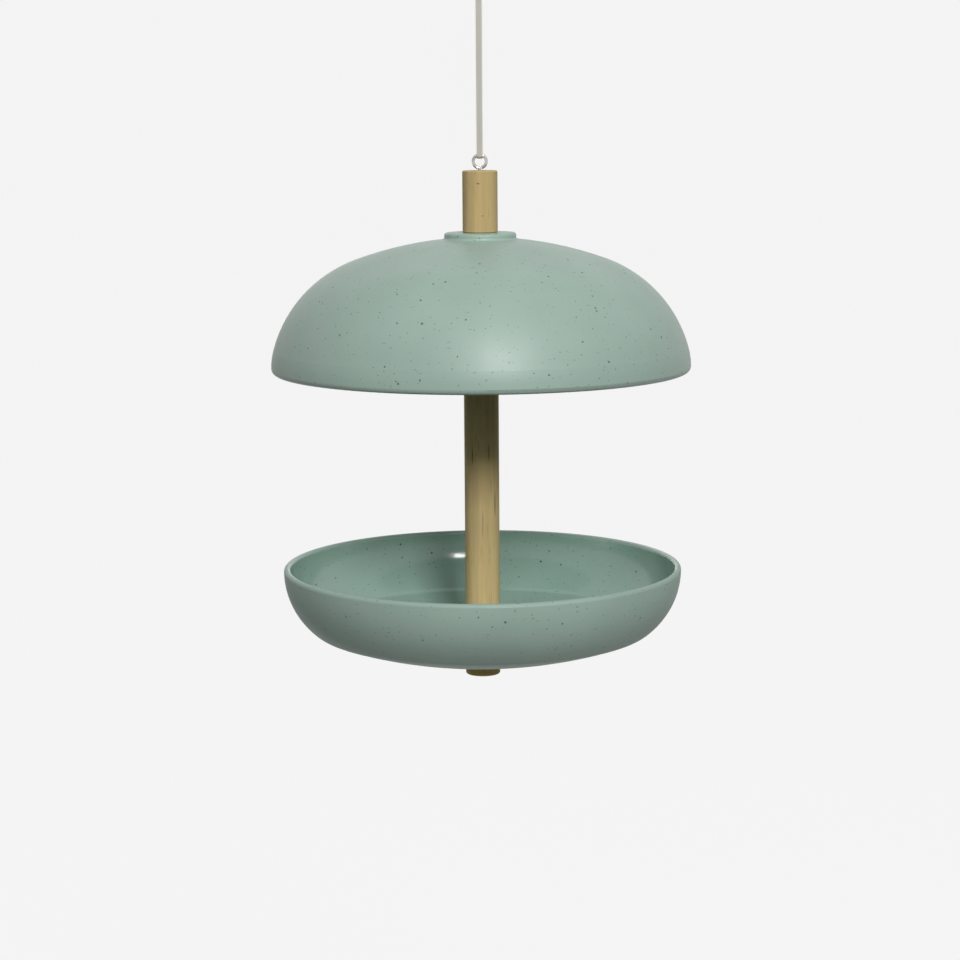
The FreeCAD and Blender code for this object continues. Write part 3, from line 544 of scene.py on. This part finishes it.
def shell_finish(name, outer_rough, inner_rough, inner_painted_bounce, shine):
    """Moulded sage green with three sizes of fleck, short fibres and a skin that is not quite even; its
    inside takes a tint of painted bounce light.
    """
    material, tree, shader = new_finish(name)
    own = put(tree, "ShaderNodeTexCoord").outputs
    place = own["Object"]
    big = flecks(tree, place, BIG_FLECKS)
    small = flecks(tree, place, SMALL_FLECKS)
    dust = flecks(tree, place, DUST_FLECKS)
    fibres = flecks(tree, stretched(tree, place, FIBRE_DRAWN_OUT), FIBRE_FLECKS)
    facing = {0: own["Normal"], 1: along_axis(tree, place, share=0.0)}
    facing_out = put(tree, "ShaderNodeVectorMath", facing, operation="DOT_PRODUCT").outputs["Value"]
    inside = fade(tree, facing_out, low=0.0, high=TURNED_IN)
    cloud = clouds(tree, place, SAGE_CLOUD_SCALE, detail=3.0)
    colour = tint(tree, fade(tree, cloud, low=0.3, high=0.7), SAGE_PALE, SAGE_DEEP)
    # Painted bounce light: the inside is multiplied by its own tint, a little greener and brighter.
    colour = tint(tree, inside, colour, inner_painted_bounce, "MULTIPLY")
    layers = (
        (dust, DUST_SHARE, DUST_HUSK),
        (fibres, SHORT_FIBRE_SHARE, FIBRE_HUSK),
        (small, SMALL_SHARE, SMALL_HUSK),
        (big, BIG_SHARE, BIG_HUSK),
    )
    for mask, share, husk in layers:
        colour = tint(tree, sums(tree, "MULTIPLY", mask, share), colour, husk)
    tree.links.new(colour, shader.inputs["Base Color"])
    skin = clouds(tree, place, SKIN_SCALE)
    rough = sums(tree, "MULTIPLY_ADD", inside, inner_rough - outer_rough, outer_rough)
    rough = sums(tree, "MULTIPLY_ADD", skin, SKIN_ROUGHNESS, rough)
    rough = sums(tree, "MULTIPLY_ADD", cloud, SAGE_CLOUD_ROUGHNESS, rough)
    tree.links.new(rough, shader.inputs["Roughness"])
    shader.inputs["Specular IOR Level"].default_value = shine
    height = sums(tree, "MULTIPLY_ADD", big, BIG_FLECK_HEIGHT, skin)
    raise_surface(tree, shader, height, SKIN_RELIEF, SKIN_BUMP)
    return material


PLAIN_CAST = (1.0, 1.0, 1.0, 1.0)
satin_sage = shell_finish(
    "sage_roof", outer_rough=0.37, inner_rough=0.40, inner_painted_bounce=PLAIN_CAST, shine=0.43
)
dress("roof", satin_sage)

# Roof washer: a soft black rubber disc, punched from sheet, with the grey bloom that rubber gets.
# It lies at the end of the roof's socket, and the post is drawn up against it.
RUBBER_BLACK = (0.012, 0.012, 0.012, 1.0)
RUBBER_GREY = (0.045, 0.043, 0.040, 1.0)
BLOOM_SCALE = 900.0
BLOOM_RELIEF = 0.00005
BLOOM_BUMP = 0.6
rubber, tree, shader = new_finish("black_rubber")
place = put(tree, "ShaderNodeTexCoord").outputs["Object"]
bloom = clouds(tree, place, BLOOM_SCALE, detail=4.0, roughness=0.6)
rubber_colour = tint(tree, fade(tree, bloom, low=0.4, high=0.75), RUBBER_BLACK, RUBBER_GREY)
rubber_rough = fade(tree, bloom, low=0.3, high=0.7, out_low=0.60, out_high=0.80)
tree.links.new(rubber_colour, shader.inputs["Base Color"])
tree.links.new(rubber_rough, shader.inputs["Roughness"])
raise_surface(tree, shader, bloom, BLOOM_RELIEF, BLOOM_BUMP)
dress("roof_washer", rubber)

# Post: the same beech dowel, 234 mm long, sanded and left plain, from the roof's socket down into
# the bowl's. It is painted paler than the grip, as painted bounce light from the bowl below it,
# and three fine drying cracks run along its front.
POST_PALE_WITH_PAINTED_BOUNCE = (0.61, 0.476, 0.236, 1.0)
POST_DEEP_WITH_PAINTED_BOUNCE = (0.455, 0.325, 0.142, 1.0)
POST_PITH = (-0.027, 0.019, 0.9)
POST_CRACKS = [
    ((-0.0053, -0.0085, -0.2694), (0.0005, 0.0040, 0.0065), 0.60),
    ((0.0041, -0.0091, -0.2671), (0.0005, 0.0040, 0.0075), 0.65),
    ((0.0074, -0.0067, -0.2973), (0.0005, 0.0040, 0.0100), 0.65),
]
dress("post", dowel_finish("beech_post", POST_PITH, POST_PALE_WITH_PAINTED_BOUNCE, POST_DEEP_WITH_PAINTED_BOUNCE, POST_CRACKS))

# Lower stud: zinc-plated steel like the upper one, with its coarse thread up in the post.
# It passes through the bowl and takes the foot on its machine thread.
dress("bowl_stud", zinc)

# Bowl washer: a second disc of the same rubber, in the ring that stands up from the bottom of the bowl.
# The foot pulls the bowl up until this disc meets the post.
dress("bowl_washer", rubber)

# Bowl: one moulding of the same compound, 230 mm across with a 4 mm wall and a rounded rim.
# It is matt outside and polished inside, where seed has to slide and wash off.
# Its inside is painted a little greener and brighter than its outside, as painted bounce light from its
# own walls.
INSIDE_PAINTED_BOUNCE = (0.98, 1.07, 1.06, 1.0)
polished_sage = shell_finish(
    "sage_bowl", outer_rough=0.50, inner_rough=0.055, inner_painted_bounce=INSIDE_PAINTED_BOUNCE, shine=0.37
)
dress("bowl", polished_sage)

# Foot: a slice of the same dowel, 9.5 mm thick, that screws up under the bowl and holds it.
# Its wood is given a warmer, more saturated tone than the post's, as painted shade for the bowl's
# shadow, and its cut ends show the growth rings.
FOOT_PALE_SHADE_TONED = (0.63, 0.465, 0.175, 1.0)
FOOT_DEEP_SHADE_TONED = (0.47, 0.325, 0.105, 1.0)
FOOT_PITH = (0.024, -0.022, 0.2)
dress("foot_knob", dowel_finish("beech_foot", FOOT_PITH, FOOT_PALE_SHADE_TONED, FOOT_DEEP_SHADE_TONED))

# Foot insert: a shorter brass bush like the one in the grip, pressed into the foot.
# It runs on the lower stud when the foot is turned.
dress("foot_insert", brass)

# Floor: a wide sheet of pale board, well below the hanging feeder, which takes its soft shadow.
# It looks as pale as the room all over, and its middle throws some light back up.
FLOOR_HEIGHT = -1.2
FLOOR_HALF = 14.0
BOUNCE_NEAR = 0.38
BOUNCE_FAR = 0.05
BOUNCE_KEPT_TO = 0.6
BOUNCE_GONE_AT = 1.5
FLOOR_PALENESS = 0.92
PALENESS_PER_BOUNCE = -0.78
WHITE = (1.0, 1.0, 1.0, 1.0)


def seen_directly(tree):
    """One where the surface is looked at, mirrored or seen through glass, and zero where it lights."""
    seen = put(tree, "ShaderNodeLightPath").outputs
    looked_at = sums(tree, "MAXIMUM", seen["Is Camera Ray"], seen["Is Glossy Ray"])
    return sums(tree, "MAXIMUM", looked_at, seen["Is Transmission Ray"])


floor_shape = bmesh.new()
bmesh.ops.create_grid(floor_shape, x_segments=1, y_segments=1, size=FLOOR_HALF)
bmesh.ops.translate(floor_shape, vec=(0.0, 0.0, FLOOR_HEIGHT), verts=floor_shape.verts)
floor_mesh = bpy.data.meshes.new("floor_sheet")
floor_shape.to_mesh(floor_mesh)
floor_shape.free()
floor = bpy.data.objects.new("floor_sheet", floor_mesh)
bpy.context.scene.collection.objects.link(floor)
pale_floor = bpy.data.materials.new("pale_floor")
pale_floor.use_nodes = True
tree = pale_floor.node_tree
tree.nodes.clear()
place = put(tree, "ShaderNodeTexCoord").outputs["Object"]
flat = along_axis(tree, place, share=0.0)
from_middle = length_of(tree, flat)
bounce = fade(tree, from_middle, BOUNCE_KEPT_TO, BOUNCE_GONE_AT, BOUNCE_NEAR, BOUNCE_FAR)
matt = put(tree, "ShaderNodeBsdfDiffuse", {"Color": bounce})
paleness = sums(tree, "MULTIPLY_ADD", bounce, PALENESS_PER_BOUNCE, FLOOR_PALENESS)
paleness = sums(tree, "MULTIPLY", seen_directly(tree), paleness)
glow = put(tree, "ShaderNodeEmission", {"Color": WHITE, "Strength": paleness})
both = put(tree, "ShaderNodeAddShader", {0: matt.outputs[0], 1: glow.outputs[0]})
put(tree, "ShaderNodeOutputMaterial", {"Surface": both.outputs[0]})
floor_mesh.materials.append(pale_floor)

# Room light: a pale studio room, brightest some way up, dimmer overhead, to the sides and below.
# Where it is looked at or mirrored, it is an even near-white.
ROOM_LIGHT = (1.0, 0.99, 0.97, 1.0)
ROOM_SEEN = (0.90, 0.90, 0.90, 1.0)
BRIGHTEST_AT = 0.40
world = bpy.data.worlds.new("studio_room")
bpy.context.scene.world = world
world.use_nodes = True
tree = world.node_tree
tree.nodes.clear()
way = put(tree, "ShaderNodeTexCoord").outputs["Generated"]
axes = put(tree, "ShaderNodeSeparateXYZ", {0: way}).outputs
level = fade(tree, axes["Z"], low=-0.02, high=BRIGHTEST_AT, out_low=0.02, out_high=0.67)
overhead = fade(tree, axes["Z"], low=BRIGHTEST_AT, high=1.0, out_high=0.25)
level = sums(tree, "SUBTRACT", level, overhead)
aside = sums(tree, "ABSOLUTE", axes["X"])
sides = fade(tree, aside, low=0.30, high=0.95, out_low=1.0, out_high=0.20)
level = sums(tree, "MULTIPLY", level, sides)
room = put(tree, "ShaderNodeBackground", {"Color": ROOM_LIGHT, "Strength": level})
even = put(tree, "ShaderNodeBackground", {"Color": ROOM_SEEN, "Strength": 1.0})
either = {0: seen_directly(tree), 1: room.outputs[0], 2: even.outputs[0]}
shown = put(tree, "ShaderNodeMixShader", either)
put(tree, "ShaderNodeOutputWorld", {"Surface": shown.outputs[0]})

# Softbox: the main light, nearly a metre wide, in front, 12 degrees to the right and 30 degrees up.
# It throws the roof's shade on the post and the post's shade into the bowl, and makes the bright
# streak there.
VIEW_MIDDLE = Vector((0.0, 0.0, -0.25))
LIGHT_AWAY = 4.0
KEY_TURN = math.radians(12.0)
KEY_RISE = math.radians(29.6)


def panel_light(name, place, wide, high, energy):
    """Flat panel that faces the middle of the feeder."""
    light = bpy.data.lights.new(name, "AREA")
    light.shape = "RECTANGLE"
    light.size = wide
    light.size_y = high
    light.energy = energy
    panel = bpy.data.objects.new(name, light)
    panel.location = place
    panel.rotation_euler = (place - VIEW_MIDDLE).to_track_quat("Z", "Y").to_euler()
    bpy.context.scene.collection.objects.link(panel)
    return panel


def in_front(turn, rise):
    """Place of a light in front of the feeder, turned to the right and raised."""
    level_way = Vector((math.sin(turn), -math.cos(turn), 0.0))
    way = level_way * math.cos(rise) + Vector((0.0, 0.0, math.sin(rise)))
    return VIEW_MIDDLE + way * LIGHT_AWAY


panel_light("softbox", in_front(KEY_TURN, KEY_RISE), wide=0.90, high=0.85, energy=102.0)

# Strip light: a weaker and wider panel above the softbox, 45 degrees up.
# It widens the sheen on the front of the roof and reaches the lowest part of the post.
STRIP_TURN = math.radians(10.0)
STRIP_RISE = math.radians(45.0)
panel_light("strip", in_front(STRIP_TURN, STRIP_RISE), wide=1.3, high=0.75, energy=32.0)

# Back light: a dim panel with a grid, behind the feeder and a little above it, turned towards it.
# It keeps the back of roof and bowl from going dark, and gives the front nothing but a faint edge.
BACK_PLACE = Vector((-0.6, 3.0, 0.1))
BACK_SPREAD = math.radians(40.0)
back = panel_light("back_panel", BACK_PLACE, wide=0.9, high=0.9, energy=3.6)
back.data.spread = BACK_SPREAD
back.visible_camera = False
back.visible_glossy = False

# Camera: level with the lower half of the cord and 1.39 m in front, tipped down by 8.9 degrees.
# Place, tip and focus were found from the outlines of roof, bowl and dowel in the photograph.
CAMERA_PLACE = Vector((-0.0011, -1.394, -0.06635))
CAMERA_TIP = math.radians(8.887)
CAMERA_ROLL = math.radians(-0.4)
FOCUS_PIXELS = 2442.0
FRAME_PIXELS = 960.0
SENSOR_WIDTH = 36.0
NEAREST_SEEN = 0.05
lens = bpy.data.cameras.new("photo_camera")
lens.sensor_width = SENSOR_WIDTH
lens.lens = SENSOR_WIDTH * FOCUS_PIXELS / FRAME_PIXELS
lens.clip_start = NEAREST_SEEN
camera = bpy.data.objects.new("photo_camera", lens)
tip = Matrix.Rotation(math.radians(90.0) - CAMERA_TIP, 4, "X")
roll = Matrix.Rotation(CAMERA_ROLL, 4, "Z")
camera.matrix_world = Matrix.Translation(CAMERA_PLACE) @ tip @ roll
bpy.context.scene.collection.objects.link(camera)
bpy.context.scene.camera = camera
bpy.context.scene.view_settings.view_transform = "Standard"
